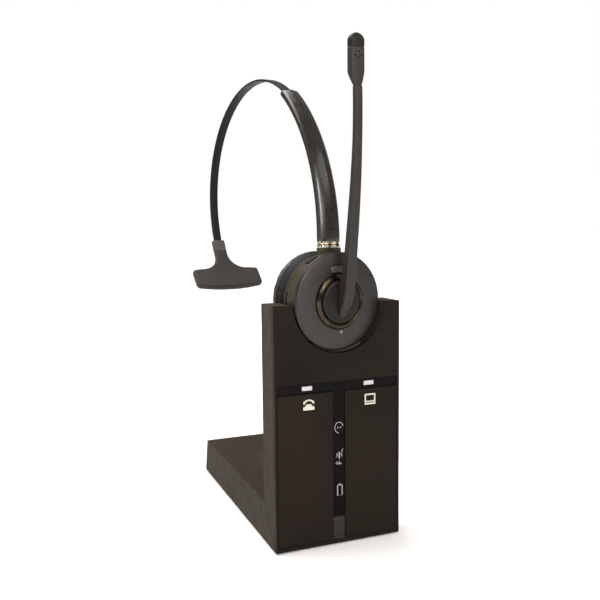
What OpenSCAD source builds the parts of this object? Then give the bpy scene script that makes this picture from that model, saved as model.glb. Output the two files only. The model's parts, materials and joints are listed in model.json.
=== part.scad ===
// Wireless office headset on its charging base.
// +Z is up and the desk is z = 0. The origin is on the desk, in the middle of the front foot pad,
// under the tower's mid-plane. +Y runs from the tower to the rear of the base. Millimetres.

/* [Base] */
// Width of the tower and of the foot
base_w = 80; // [74:1:88]
// Depth of the upright tower
tower_d = 21; // [20.5:0.5:23]
// Height of the tower above the desk
tower_h = 144.4; // [143.6:0.2:145]
// Height of the foot behind the tower
foot_h = 25.5; // [25:0.5:30]
// Distance from the tower's mid-plane to the foot's rear top edge
foot_back = 145.1; // [140:0.1:170]
// How far the foot's rear face leans out at its bottom
foot_lean = 6.5; // [2:0.5:8]
// Wall thickness of the base mouldings
wall = 2.2; // [1.8:0.1:2.4]
// How far the foot pads hold the base off the desk
pad_proud = 1; // [0.8:0.1:1.2]

/* [Cradle] */
// Radius of the round cut-out that the ear cup hangs in
cradle_r = 29.8; // [29.7:0.1:30.2]
// Radius of the cut-out's front edge
lip_r = 29.3; // [29.2:0.1:29.6]
// Height of the cut-out's centre
cradle_z = 144.7; // [144.4:0.1:145]
// Distance between the charging pins
pin_gap = 8; // [7:0.5:10]

/* [Front panel] */
// Height where the gloss band starts, just over the keys
band_z = 93.2; // [90:0.1:95]
// Height of the gloss band
band_h = 5.8; // [5.5:0.1:7]
// Half the width of the gloss strip between the keys
strip_half = 3.7; // [3.5:0.1:4.5]

/* [Ear cup] */
// Radius of the cap
cup_r = 28.3; // [28:0.1:28.4]
// Height of the cup's axis when it hangs in the base
cup_z = 145.4; // [145.2:0.1:145.8]
// How far the docked headset is turned about the vertical, in degrees
dock_yaw = 8; // [6:0.5:8]
// Outer radius of the ear cushion
cushion_r = 29; // [28.6:0.1:29.4]

/* [Headband] */
// Radius of the thin strip's arc
band_r = 78.2; // [78:0.1:78.4]
// Width of the thin strip
band_w = 6.2; // [5.6:0.1:6.4]
// Thickness of the thin strip
band_t = 1.4; // [1.2:0.1:1.5]
// Radius of the sleeve's outer face
sleeve_r = 119.2; // [119:0.1:119.5]
// Thickness of the sleeve
sleeve_t = 5; // [4.9:0.1:5.2]
// Width of the sleeve at its foot
sleeve_w = 14.2; // [13.6:0.1:14.6]
// Radius that the T-bar is curved to
tbar_r = 120; // [110:1:130]
// Width of the T-bar pad
tbar_w = 53; // [48:1:56]

/* [Boom] */
// Radius of the turning hub
hub_r = 12.7; // [12:0.1:12.8]
// Height of the boom's tip above the desk
boom_top = 292.2; // [285:0.2:296]
// Width of the microphone head
head_w = 8.6; // [8:0.1:10]

/* [Hidden] */
$fn = 96;
eps = 0.01;
gap = 0.1;

// Base: planes that several pieces share
half_w = base_w / 2;
front_y = -tower_d / 2;
rear_y = tower_d / 2;
cover_t = 3;
shell_front = front_y + cover_t + gap;
inner_half = half_w - wall;
seam_y = shell_front;
seam_z = 3.3;
floor_top = pad_proud + 2;
panel_half = half_w - 1.4;
rail_z = 3.1;
band_top = band_z + band_h;
inside_front = -5.1;
gloss_front = -9.7;
insert_front = -10.1;
window_front = -9.9;
window_back = -4.5;
strip_low = 17.2;
frame_front = -7.3;
frame_back = -5.9;
key_t = 1.8;
lip_x = 1.2;
lip_depth = 0.5;
flare_y = 6;
flare_r = 32.5;
cradle_wall = 2;

// Base: positions of what is inside
board_y = -2.2;
board_t = 1.6;
key_x = 21;
press_z = 80;
led_x = 19.75;
led_z = 96.15;
led_w = 6.4;
led_h = 2.5;
pivot_y = -9.6;
pivot_z = 5;
pivot_r = 0.7;
pin_y = 2;
pin_r = 0.7;
barrel_r = 1.35;
pin_low = 107;
pin_straight = 9.9;
block_half = 16;
block_top = 123;
block_front = -6.5;
block_back = 7.5;
saddle_gap = 0.5;
block_z = cradle_z - cradle_r;
screw_x = 30;
screw_y = [22, 128];
pad_y = [0, 138];
jack_z = 8.6;
jack_face = 143.6;
jack_depth = 13;
power_x = -17.5;
usb_x = -4.5;
phone_x = [5, 20];
cable_half = 6;
cable_t = 0.5;

// Headset: planes along the cup's axis
cap_front = -8.5;
cap_back = -6.6;
crown = 1.1;
face_y = cap_front - crown;
shell_front_y = -6.4;
shell_back_y = 10;
baffle_back = 15.2;
cushion_front = 15.4;
cushion_back = 22.8;
ring_in = 13.2;
ring_out = 16;
hub_front = -12.4;
axle_r = 3;
run = 0.05;
screw_ring = 23;
lens_x = 1;
lens_ring = 17.8;
volume_angle = [121, 59];
volume_half = 7;
call_half = 17;
call_in = 17.2;
call_out = 21;

// Headband: both arcs lie in the plane x = 0, with their angles from +Y towards +Z
band_y = 93.9;
band_zc = 208.6;
sleeve_y = 118.8;
sleeve_zc = 180;
sleeve_in = sleeve_r - sleeve_t;
split_r = sleeve_in + 2.4;
mouth = 127;
tail = 141.5;
strip_end = -26.8;
clip_top = -23;
clip_low = -29;
tbar_y = band_y - (tbar_r - band_r) * cos(30);
tbar_zc = band_zc + (tbar_r - band_r) * sin(30);
tbar_mid = -41.8;
swivel_y = sleeve_y - sleeve_r + sleeve_t / 2;
swivel_r = 1.2;
collar_low = 176.6;

// Boom: the line of the arm in the plane x = 0, as [y, z]
boom_line = [[-16.8, 140], [-20, 172], [-29.8, 215], [-28.3, 264.05]];
boom_steps = 20;
head_low = 263;
seam_head = 284.4;
head_y = -26.8;
head_t = 5;

function mix(a, b, t) = a + (b - a) * t;
function bezier(p, t) = pow(1 - t, 3) * p[0] + 3 * t * pow(1 - t, 2) * p[1]
  + 3 * t * t * (1 - t) * p[2] + t * t * t * p[3];
function around(a) = [cos(a), sin(a)];
function arc(c, r, a0, a1, n) = [for (i = [0:n]) c + r * around(mix(a0, a1, i / n))];

// A box from its lowest to its highest corner
module span(a, b) {
  translate(a) cube(b - a);
}

// A bar along Y from y0 to y1
module rod_y(x, z, r, y0, y1) {
  translate([x, y0, z]) rotate([-90, 0, 0]) cylinder(r = r, h = y1 - y0);
}

// A bar along X from x0 to x1
module rod_x(y, z, r, x0, x1) {
  translate([x0, y, z]) rotate([0, 90, 0]) cylinder(r = r, h = x1 - x0);
}

// A side outline in [y, z], as thick as the span x0 to x1
module side_plate(outline, x0, x1) {
  translate([x0, 0, 0]) rotate([90, 0, 90]) linear_extrude(x1 - x0) polygon(outline);
}

// A front outline in [x, z], as thick as the span y0 to y1
module front_plate(outline, y0, y1) {
  translate([0, y1, 0]) rotate([90, 0, 0]) linear_extrude(y1 - y0) polygon(outline);
}

// The headset as it hangs in the base
module docked() {
  rotate([0, 0, dock_yaw]) children();
}

// A profile in [radius, y] turned about the cup's axis
module turned(profile) {
  translate([0, 0, cup_z]) rotate([-90, 0, 0]) rotate_extrude() polygon(profile);
}

// A profile in [radius, x] swept from angle a0 to a1 about a line along X through [cy, cz]
module swept(cy, cz, a0, a1, profile) {
  translate([0, cy, cz]) rotate([90, 0, 90]) rotate([0, 0, a0])
    rotate_extrude(angle = a1 - a0) polygon(profile);
}

// A sector of a ring about the cup's axis, centred on an angle from +X towards +Z
module ring_sector(r0, r1, mid, half, y0, y1) {
  outline = concat(arc([0, cup_z], r1, mid - half, mid + half, 12),
    arc([0, cup_z], r0, mid + half, mid - half, 12));
  front_plate(outline, y0, y1);
}

// ---- Base: mouldings ----

// The cut-out in the front cover, tapered inwards and centred on the turned cup's face
module cover_space() {
  translate([lip_x, front_y - eps, cradle_z]) rotate([-90, 0, 0])
    cylinder(r1 = lip_r, r2 = lip_r - lip_depth, h = cover_t + 2 * eps);
}

// The cut-out in the tower shell, flared at the rear
module cradle_space() {
  rod_y(0, cradle_z, cradle_r, front_y - 1, rear_y + 1);
  translate([0, flare_y, cradle_z]) rotate([-90, 0, 0])
    cylinder(r1 = cradle_r, r2 = flare_r, h = rear_y - flare_y + eps);
}

module front_cover() {
  edge = 0.8;
  color([0.2, 0.17, 0.16]) difference() {
    side_plate([[front_y, pad_proud], [front_y + cover_t, pad_proud], [front_y + cover_t, tower_h],
      [front_y + edge, tower_h], [front_y, tower_h - edge]], -half_w, half_w);
    cover_space();
    span([-panel_half, front_y - 1, rail_z], [panel_half, front_y + cover_t + 1, band_top + gap]);
    rod_x(pivot_y, pivot_z, pivot_r + run, -panel_half - 1, panel_half + 1);
  }
}

module tower_shell() {
  color([0.28, 0.25, 0.21]) difference() {
    side_plate([[shell_front, seam_z], [rear_y, foot_h + gap], [rear_y, tower_h],
      [shell_front, tower_h]], -half_w, half_w);
    difference() {
      span([-inner_half, front_y, -1], [inner_half, rear_y - wall, tower_h - wall]);
      rod_y(0, cradle_z, cradle_r + cradle_wall, front_y - 1, rear_y);
    }
    cradle_space();
    span([-block_half - gap, block_front - gap, block_z - 5],
      [block_half + gap, block_back + gap, block_top]);
  }
}

module screw_places() {
  for (x = [-screw_x, screw_x], y = screw_y) translate([x, y, 0]) children();
}

module jack_openings() {
  y0 = jack_face - 1;
  y1 = foot_back + foot_lean + 1;
  span([power_x - 5, y0, jack_z + 0.5], [power_x + 5, y1, jack_z + 11]);
  span([usb_x - 4, y0, jack_z + 0.2], [usb_x + 4, y1, jack_z + 4.6]);
  for (x = phone_x) span([x - 5.5, y0, jack_z + 0.8], [x + 5.5, y1, jack_z + 11.6]);
}

module foot_shell() {
  back = foot_back + foot_lean;
  color([0.33, 0.3, 0.29]) difference() {
    union() {
      difference() {
        side_plate([[seam_y + gap, pad_proud], [seam_y + gap, seam_z - gap], [rear_y + gap, foot_h - gap],
          [rear_y + gap, foot_h], [foot_back, foot_h], [back, pad_proud]], -half_w, half_w);
        side_plate([[inside_front, -1], [inside_front, 12], [rear_y - 0.5, foot_h + 5],
          [rear_y + gap - eps, foot_h + 5], [rear_y + gap - eps, foot_h - wall],
          [foot_back - 2, foot_h - wall], [back - wall - 0.2, -1]],
          -inner_half, inner_half);
      }
      screw_places() translate([0, 0, floor_top + gap])
        cylinder(r = 3.2, h = foot_h - floor_top - 1);
    }
    screw_places() translate([0, 0, -1]) cylinder(r = 1.5, h = 15);
    jack_openings();
  }
}

module bottom_cover() {
  color([0.16, 0.15, 0.15]) difference() {
    span([-inner_half + 0.2, inside_front + 0.2, pad_proud], [inner_half - 0.2, foot_back + 2.4, floor_top]);
    for (y = pad_y) span([-28.1, y - 4.1, 0], [28.1, y + 4.1, pad_proud + 1]);
    screw_places() translate([0, 0, -1]) cylinder(r = 1.6, h = 10);
    screw_places() translate([0, 0, 0]) cylinder(r = 3.1, h = pad_proud + 1);
  }
}

module foot_pads() {
  color([0.08, 0.08, 0.08]) for (y = pad_y) span([-28, y - 4, 0], [28, y + 4, pad_proud + 0.95]);
}

module case_screws() {
  color([0.6, 0.6, 0.62]) screw_places() {
    translate([0, 0, pad_proud + 0.95 - 0.8]) cylinder(r = 3, h = 0.8);
    translate([0, 0, pad_proud + 0.9]) cylinder(r = 1.45, h = 9);
  }
}

module ballast_plate() {
  color([0.45, 0.45, 0.47]) span([-24, 45, floor_top + gap], [24, 112, floor_top + 6]);
}

// ---- Base: front panel ----

module led_opening(grow, y0, y1) {
  dx = led_w / 2 + grow;
  dz = led_h / 2 + grow;
  for (x = [-led_x, led_x]) span([x - dx, y0, led_z - dz], [x + dx, y1, led_z + dz]);
}

module button_frame() {
  color([0.14, 0.13, 0.13]) difference() {
    span([-inner_half + 0.3, frame_front, 9], [inner_half - 0.3, frame_back, 104]);
    led_opening(gap, -8, -5);
    for (x = [-key_x, key_x]) rod_y(x, press_z, 2.7, -8, -5);
  }
}

module gloss_trim() {
  color([0.02, 0.02, 0.025]) difference() {
    union() {
      span([-panel_half + gap, gloss_front, band_z], [panel_half - gap, shell_front, band_top]);
      span([-strip_half, gloss_front, strip_low], [strip_half, shell_front, band_z + 1]);
    }
    led_opening(gap, -11, -7);
  }
}

module strip_insert() {
  color([0.1, 0.09, 0.09]) difference() {
    span([-strip_half, insert_front, rail_z + gap], [strip_half, shell_front, strip_low - gap]);
    for (s = [-1, 1]) rod_x(pivot_y, pivot_z, pivot_r + run, s * strip_half - 0.9, s * strip_half + 0.9);
  }
}

module led_windows() {
  color([0.9, 0.88, 0.93]) led_opening(0, window_front, window_back);
}

module front_key(side) {
  x0 = strip_half + 0.3;
  x1 = panel_half - 0.3;
  color([0.2, 0.17, 0.16]) scale([side, 1, 1]) {
    difference() {
      span([x0, front_y, rail_z + 0.3], [x1, front_y + key_t, band_z - 0.3]);
      span([x0 + 2, front_y + 1.3, rail_z + 8], [x1 - 2, front_y + 2, press_z - 6]);
    }
    rod_y(key_x, press_z, 2, front_y + key_t - gap, frame_back - 0.3);
    rod_x(pivot_y, pivot_z, pivot_r, x0 - 0.9, x0 + 1);
    rod_x(pivot_y, pivot_z, pivot_r, x1 - 1, x1 + 0.9);
  }
}

module phone_key() {
  front_key(-1);
}

module computer_key() {
  front_key(1);
}

// ---- Base: electronics ----

module contact_block() {
  color([0.12, 0.12, 0.12]) difference() {
    span([-block_half, block_front, block_z - 4.5], [block_half, block_back, block_top]);
    docked() turned([[0, -12], [cup_r + saddle_gap, -12], [cup_r + saddle_gap, 5],
      [cup_r - 1.9 + saddle_gap, shell_back_y], [0, shell_back_y + 2]]);
    pin_places() cylinder(r = pin_r + run, h = 200);
    pin_places() cylinder(r = barrel_r + 0.05, h = pin_low + 6);
  }
}

module pin_places() {
  for (x = [-pin_gap / 2, pin_gap / 2]) translate([x, pin_y, 0]) children();
}

module pin_barrels() {
  color([0.8, 0.65, 0.3]) pin_places() difference() {
    translate([0, 0, pin_low - 2.5]) cylinder(r = barrel_r, h = 8.4);
    translate([0, 0, pin_low - 1.5]) cylinder(r = pin_r + run, h = 10);
  }
}

module charge_pin(x) {
  color([0.85, 0.7, 0.3]) translate([x, pin_y, pin_low]) {
    cylinder(r = pin_r, h = pin_straight);
    translate([0, 0, pin_straight]) cylinder(r1 = pin_r, r2 = 0.4, h = 0.3);
  }
}

module charge_pin_left() {
  charge_pin(-pin_gap / 2);
}

module charge_pin_right() {
  charge_pin(pin_gap / 2);
}

module base_board() {
  color([0.1, 0.35, 0.2]) union() {
    span([-30, board_y, 32], [30, board_y + board_t, 103]);
    span([-14, board_y + board_t - eps, 45], [-2, board_y + board_t + 1.2, 57]);
    span([6, board_y + board_t - eps, 62], [13, board_y + board_t + 1, 69]);
  }
}

module key_switches() {
  color([0.25, 0.25, 0.26]) for (x = [-key_x, key_x]) {
    span([x - 3, board_y - 2, press_z - 3], [x + 3, board_y - gap, press_z + 3]);
    rod_y(x, press_z, 1.7, board_y - 3, board_y - 1.9);
  }
}

module signal_leds() {
  color([0.8, 0.85, 0.9]) for (x = [-led_x, led_x])
    span([x - 1.6, board_y - 1.4, led_z - 0.8], [x + 1.6, board_y - gap, led_z + 0.8]);
}

module antenna() {
  color([0.75, 0.75, 0.77]) union() {
    span([24, board_y - 3, 40], [28, board_y - 2.6, 72]);
    for (z = [42, 68]) span([25, board_y - 2.7, z], [27, board_y - gap, z + 0.5]);
  }
}

module jack_board() {
  color([0.1, 0.35, 0.2]) span([-26, 118, jack_z - 1.6], [26, 142, jack_z]);
}

module power_jack() {
  z = jack_z + 6;
  color([0.1, 0.1, 0.1]) difference() {
    span([power_x - 4.5, jack_face - jack_depth, jack_z + gap], [power_x + 4.5, jack_face, jack_z + 11]);
    rod_y(power_x, z, 3.2, jack_face - 9, jack_face + 1);
  }
  color([0.8, 0.8, 0.8]) rod_y(power_x, z, 1, jack_face - 9.5, jack_face - 1);
}

module usb_jack() {
  color([0.75, 0.75, 0.77]) difference() {
    span([usb_x - 3.8, jack_face - 9, jack_z + gap], [usb_x + 3.8, jack_face, jack_z + 4]);
    span([usb_x - 3.3, jack_face - 8, jack_z + 0.6], [usb_x + 3.3, jack_face + 1, jack_z + 3.5]);
  }
}

module phone_jacks() {
  color([0.12, 0.12, 0.12]) for (x = phone_x) difference() {
    span([x - 5.3, jack_face - jack_depth, jack_z + gap], [x + 5.3, jack_face, jack_z + 11.4]);
    span([x - 4, jack_face - 11, jack_z + 2.4], [x + 4, jack_face + 1, jack_z + 9.2]);
  }
}

module board_cable() {
  y0 = board_y - 0.6;
  t = cable_t;
  z0 = jack_z + gap;
  color([0.85, 0.83, 0.78]) side_plate([[y0, 40], [y0, 17], [y0 + 7, 12], [112, 12], [119, z0],
    [124, z0], [124, z0 + t], [119.3, z0 + t], [112.3, 12 + t], [y0 + 7.2, 12 + t],
    [y0 + t, 17.3], [y0 + t, 40]], -cable_half, cable_half);
}

// ---- Headset: ear cup ----

module call_opening(grow, y0, y1) {
  ring_sector(call_in - grow, call_out + grow, 90, call_half + grow * 3, y0, y1);
}

module ear_cap() {
  color([0.22, 0.2, 0.19]) docked() difference() {
    turned([[axle_r + run, face_y], [ring_out + 0.9, face_y], [22.5, face_y + 0.35],
      [cup_r - 0.8, cap_front], [cup_r, cap_front + 0.8],
      [cup_r, cap_back], [cup_r - 1.7, cap_back], [cup_r - 1.7, cap_back + 1.6],
      [cup_r - 2.7, cap_back + 1.6], [cup_r - 2.7, cap_back], [6, cap_back], [6, cap_front + 2.6],
      [axle_r + run, cap_front + 2.6]]);
    call_opening(0.25, face_y - 1, cap_front + 4);
    rod_y(lens_x, cup_z - lens_ring, 0.9, face_y - 1, cap_front + 3);
  }
}

module volume_opening(i, grow, r0, r1) {
  ring_sector(r0, r1, volume_angle[i], volume_half + grow * 2.5, -4.2 - grow, -0.2 + grow);
}

module cup_shell() {
  color([0.3, 0.27, 0.22]) docked() difference() {
    union() {
      turned([[cup_r, shell_front_y], [cup_r, 0.5], [cup_r - 0.7, 4], [cup_r - 1.9, shell_back_y],
        [cup_r - 3.5, shell_back_y], [cup_r - 2.1, 3.5], [cup_r - 1.5, 0.5], [cup_r - 1.5, shell_front_y]]);
      difference() {
        span([-6.8, swivel_y - 2.6, cup_z + 24], [6.8, swivel_y + 2.6, collar_low - 0.3]);
        rod_y(0, cup_z, cup_r - 2, -5, 15);
      }
      for (a = [30, 150, 270]) rotate_about_cup(a) difference() {
        rod_y(screw_ring + 0.6, cup_z, 2.2, -1, shell_back_y);
        rod_y(screw_ring + 0.6, cup_z, 0.9, 0, shell_back_y + 1);
      }
    }
    for (i = [0, 1]) volume_opening(i, 0.25, cup_r - 4, cup_r + 2);
    translate([0, swivel_y, 0]) cylinder(r = swivel_r + run, h = 200);
    span([-cup_r - 2, 3.7, cup_z - 6.2], [-cup_r + 4, 6.2, cup_z + 6.2]);
    rotate([0, 0, -dock_yaw]) pin_places() cylinder(r = 2, h = 125);
  }
}

// Turns its children about the cup's axis, from +X towards +Z
module rotate_about_cup(a) {
  translate([0, 0, cup_z]) rotate([0, -a, 0]) translate([0, 0, -cup_z]) children();
}

module bezel_ring() {
  color([0.35, 0.3, 0.24]) docked() turned([[ring_in, face_y - gap / 2], [ring_in, face_y - 1.1],
    [ring_in + 0.8, face_y - 1.8], [ring_out - 0.9, face_y - 1.5], [ring_out, face_y - 0.7],
    [ring_out, face_y - gap / 2]]);
}

module status_lens() {
  color([0.8, 0.78, 0.6]) docked() rod_y(lens_x, cup_z - lens_ring, 0.8, face_y - 0.15, cap_front + 2);
}

module headset_board() {
  color([0.1, 0.35, 0.2]) docked() difference() {
    rod_y(0, cup_z, 20, -4.3, -3.3);
    rod_y(0, cup_z, 4, -5, -3);
  }
}

module battery() {
  color([0.7, 0.72, 0.75]) docked() span([-15, -3, cup_z - 10], [15, 2.4, cup_z + 10]);
}

module speaker_driver() {
  color([0.5, 0.5, 0.52]) docked() turned([[0, 4.6], [8, 4.6], [8, 8.4], [13.5, 9.6], [14.5, 11],
    [14.5, 13.1], [0, 13.1]]);
}

module speaker_baffle() {
  color([0.3, 0.31, 0.34]) docked() difference() {
    turned([[0, 13.3], [25.2, 13.3], [25.2, shell_back_y + 0.2], [26.4, shell_back_y + 0.2], [27.9, 12.6],
      [27.9, 14.4], [27.2, baffle_back], [0, baffle_back]]);
    rod_y(0, cup_z, 1.1, 12, 16);
    for (a = [0:60:300]) rotate_about_cup(a) rod_y(5, cup_z, 1.1, 12, 16);
    for (a = [15:30:345]) rotate_about_cup(a) rod_y(9.5, cup_z, 1.1, 12, 16);
    for (a = [30, 150, 270]) rotate_about_cup(a) rod_y(screw_ring + 0.6, cup_z, 1, 9, 16);
  }
}

module acoustic_cloth() {
  color([0.12, 0.12, 0.12]) docked() rod_y(0, cup_z, 13, cushion_front, cushion_front + 1);
}

module ear_cushion() {
  color([0.15, 0.14, 0.14]) docked() turned([[13.3, cushion_front], [cushion_r - 1, cushion_front],
    [cushion_r, cushion_front + 1.8], [cushion_r, cushion_front + 3.8],
    [cushion_r - 2.4, cushion_back - 0.8], [cushion_r - 6, cushion_back], [cushion_r - 10, cushion_back],
    [15, cushion_back - 1.6], [13.3, cushion_front + 3]]);
}

module cup_screws() {
  color([0.7, 0.7, 0.72]) docked() for (a = [30, 150, 270]) rotate_about_cup(a)
    rod_y(screw_ring + 0.6, cup_z, 0.85, 5, baffle_back - 0.2);
}

module contact_pads() {
  color([0.85, 0.7, 0.3]) pin_places() translate([0, 0, cup_z - 27.85]) cylinder(r = 1.8, h = 1.6);
}

module swivel_pin() {
  color([0.75, 0.75, 0.77]) docked() translate([0, swivel_y, 0]) {
    translate([0, 0, cup_z + cup_r - 2.6]) cylinder(r = swivel_r, h = 17.5);
    translate([0, 0, 186]) cylinder(r = 1.7, h = 1.4);
  }
}

module call_button() {
  color([0.22, 0.2, 0.19]) docked() call_opening(0, face_y - 0.3, cap_front + 2.4);
}

module volume_button(i) {
  color([0.16, 0.14, 0.13]) docked() volume_opening(i, 0, cup_r - 2.2, cup_r + 0.9);
}

module volume_up_button() {
  volume_button(0);
}

module volume_down_button() {
  volume_button(1);
}

// ---- Headset: boom ----

module boom_hub() {
  color([0.18, 0.16, 0.15]) docked() turned([[axle_r, face_y - 0.3], [hub_r, face_y - 0.3],
    [hub_r, hub_front + 1], [hub_r - 1.2, hub_front], [0, hub_front], [0, hub_front + 1],
    [axle_r, hub_front + 1]]);
}

module boom_axle() {
  color([0.7, 0.7, 0.72]) docked() turned([[0, hub_front + 1.1], [axle_r - 0.1, hub_front + 1.1],
    [axle_r - 0.1, face_y - 0.2], [axle_r, face_y], [axle_r, -5.8], [2.4, -5.8], [2.4, -5.1],
    [axle_r, -5.1], [axle_r, -4.8], [0, -4.8]]);
}

module boom_clip() {
  color([0.6, 0.6, 0.62]) docked() difference() {
    turned([[2.45, -5.75], [5.2, -5.75], [5.2, -5.2], [2.45, -5.2]]);
    span([-0.8, -6, cup_z - 7], [0.8, -5, cup_z]);
  }
}

function boom_point(i) = bezier(boom_line, i / boom_steps);
function boom_thick(z) = mix(5.4, 3, min(1, max(0, (z - 160) / 75)));

module boom_arm() {
  first = 6;
  back = [for (i = [first:boom_steps]) boom_point(i) + [boom_thick(boom_point(i)[1]) / 2, 0]];
  front = [for (i = [boom_steps:-1:2]) boom_point(i) - [boom_thick(boom_point(i)[1]) / 2, 0]];
  foot = [[-17.6, 144], [-14.4, 139.4], [hub_front - gap, 136.6], [hub_front - gap, 156], [-14.6, 161.5]];
  color([0.22, 0.2, 0.19]) docked() intersection() {
    side_plate(concat(back, front, foot), -5, 5);
    front_plate([[-1.5, 136], [1.5, 136], [3.1, 142], [3.2, 152], [2.9, 190], [2.5, 235], [2.4, 264],
      [-2.4, 264], [-2.5, 235], [-2.9, 190], [-3.2, 152], [-3.1, 142]], -40, 0);
  }
}

module boom_ribs() {
  back = [for (i = [10:boom_steps - 1]) boom_point(i) + [boom_thick(boom_point(i)[1]) / 2 + 0.03, 0]];
  skin = [for (i = [len(back) - 1:-1:0]) back[i] + [0.3, 0]];
  color([0.1, 0.1, 0.1]) docked() union() {
    side_plate(concat(back, skin), -1.7, 1.7);
    for (i = [0:24]) {
      t = mix(0.52, 0.935, i / 24);
      p = bezier(boom_line, t);
      rod_x(p[0] + boom_thick(p[1]) / 2 + 0.4, p[1], 0.36, -1.7, 1.7);
    }
  }
}

// The head's front outline between two heights, with a round top
module head_shape(z0, z1) {
  h = head_w / 2;
  outline = concat([[-2.3, head_low], [2.3, head_low], [h - 0.2, head_low + 7], [h, head_low + 9]],
    arc([0, boom_top - h], h, 0, 180, 16), [[-h, head_low + 9], [-h + 0.2, head_low + 7]]);
  intersection() {
    front_plate(outline, head_y - head_t / 2, head_y + head_t / 2);
    side_plate([[head_y - head_t / 2, head_low], [head_y - 0.2, head_low],
      [head_y + head_t / 2, head_low + 8],
      [head_y + head_t / 2, boom_top - 4], [head_y + 1, boom_top], [head_y - 1, boom_top],
      [head_y - head_t / 2, boom_top - 4]], -10, 10);
    span([-10, -40, z0], [10, 0, z1]);
  }
}

module mic_housing() {
  color([0.22, 0.2, 0.19]) docked() difference() {
    head_shape(head_low + 1.1, seam_head);
    span([-2.9, head_y - 1.4, 274], [2.9, head_y + 1.5, seam_head + 1]);
    rod_y(0, 281.6, 0.8, head_y - 4, head_y);
    for (x = [-2, 2]) rod_y(x, 280, 0.5, head_y - 4, head_y);
    rod_y(0, 278.9, 0.5, head_y - 4, head_y);
  }
}

module mic_tip() {
  color([0.2, 0.18, 0.17]) docked() head_shape(seam_head + 0.15, boom_top + 1);
}

module mic_capsule() {
  color([0.75, 0.75, 0.77]) docked() rod_y(0, 280.4, 2, head_y - 1.2, head_y + 0.4);
}

// ---- Headset: headband ----

// Keeps the sleeve's width between its foot and its mouth
module sleeve_taper() {
  low = sleeve_w / 2;
  high = low - 1.7;
  front_plate([[-low, 178], [low, 178], [high, 290], [-high, 290]], -5, 70);
}

// The curved slot that the thin strip slides in
module strip_slot() {
  r0 = band_r - band_t / 2 - 0.2;
  r1 = band_r + band_t / 2 + 0.2;
  h = band_w / 2 + 0.2;
  swept(band_y, band_zc, 118, tail + 1.6, [[r0, -h], [r1, -h], [r1, h], [r0, h]]);
}

module swivel_space() {
  translate([0, swivel_y, 170]) cylinder(r = swivel_r + run, h = 19);
  translate([0, swivel_y + 0.15, 185.8]) cylinder(r = 1.95, h = 3.4);
}

// A screw or its hole, pointing out from the sleeve's centre
module sleeve_screw_places() {
  for (a = [150, 167]) translate([0, sleeve_y, sleeve_zc]) rotate([a - 90, 0, 0]) children();
}

module sleeve_outer() {
  h = sleeve_w / 2;
  color([0.2, 0.17, 0.15]) docked() difference() {
    intersection() {
      swept(sleeve_y, sleeve_zc, mouth + 0.8, 180, [[split_r + 0.05, -h], [sleeve_r - 1, -h],
        [sleeve_r - 0.4, -h + 1.4], [sleeve_r, -h + 3.8], [sleeve_r, h - 4.4], [sleeve_r - 0.5, h - 1.8],
        [sleeve_r - 1.2, h], [split_r + 0.05, h]]);
      sleeve_taper();
    }
    strip_slot();
    swivel_space();
    sleeve_screw_places() translate([0, 0, split_r - 1]) cylinder(r = 0.65, h = 2.6);
  }
}

module sleeve_inner() {
  h = sleeve_w / 2;
  color([0.26, 0.22, 0.18]) docked() difference() {
    intersection() {
      swept(sleeve_y, sleeve_zc, mouth, 180, [[sleeve_in, -h + 0.6], [sleeve_in + 0.6, -h], [split_r, -h],
        [split_r, h], [sleeve_in + 0.6, h], [sleeve_in, h - 0.6]]);
      sleeve_taper();
    }
    strip_slot();
    swivel_space();
    sleeve_screw_places() translate([0, 0, sleeve_in - 1]) cylinder(r = 0.7, h = 8);
    sleeve_screw_places() translate([0, 0, sleeve_in - 1]) cylinder(r = 1.5, h = 2);
  }
}

module sleeve_screws() {
  color([0.6, 0.6, 0.62]) docked() sleeve_screw_places() {
    translate([0, 0, sleeve_in + 0.2]) cylinder(r = 1.4, h = 0.75);
    translate([0, 0, sleeve_in + 0.9]) cylinder(r = 0.6, h = 2.8);
  }
}

module collar_ring() {
  h = sleeve_w / 2 + 0.2;
  y0 = swivel_y - sleeve_t / 2 - 0.2;
  y1 = swivel_y + sleeve_t / 2 + 0.2;
  outline = [[-h, y0 + 1], [-h + 2.4, y0], [h - 2.4, y0], [h, y0 + 1], [h, y1 - 0.8], [h - 0.8, y1],
    [-h + 0.8, y1], [-h, y1 - 0.8]];
  color([0.8, 0.76, 0.7]) docked() difference() {
    translate([0, 0, collar_low]) linear_extrude(sleeve_zc - collar_low - 0.05) polygon(outline);
    translate([0, swivel_y, 170]) cylinder(r = swivel_r + run, h = 20);
  }
}

module strip_profile(a0, a1, grow) {
  r0 = band_r - band_t / 2 - grow;
  r1 = band_r + band_t / 2 + grow;
  h = band_w / 2 + grow;
  swept(band_y, band_zc, a0, a1, [[r0, -h], [r1, -h], [r1, h], [r0, h]]);
}

module headband_strip() {
  color([0.12, 0.11, 0.11]) docked() strip_profile(strip_end, tail, 0);
}

module tbar_clip() {
  r0 = band_r - 2;
  r1 = band_r + 2;
  h = 4.4;
  color([0.3, 0.28, 0.27]) docked() difference() {
    swept(band_y, band_zc, clip_low, clip_top, [[r0, -h], [r0 + 0.5, -h - 0.5], [r1 - 0.5, -h - 0.5],
      [r1, -h], [r1, h], [r1 - 0.5, h + 0.5], [r0 + 0.5, h + 0.5], [r0, h]]);
    strip_profile(strip_end - 0.1, -15, 0.05);
  }
}

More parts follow.
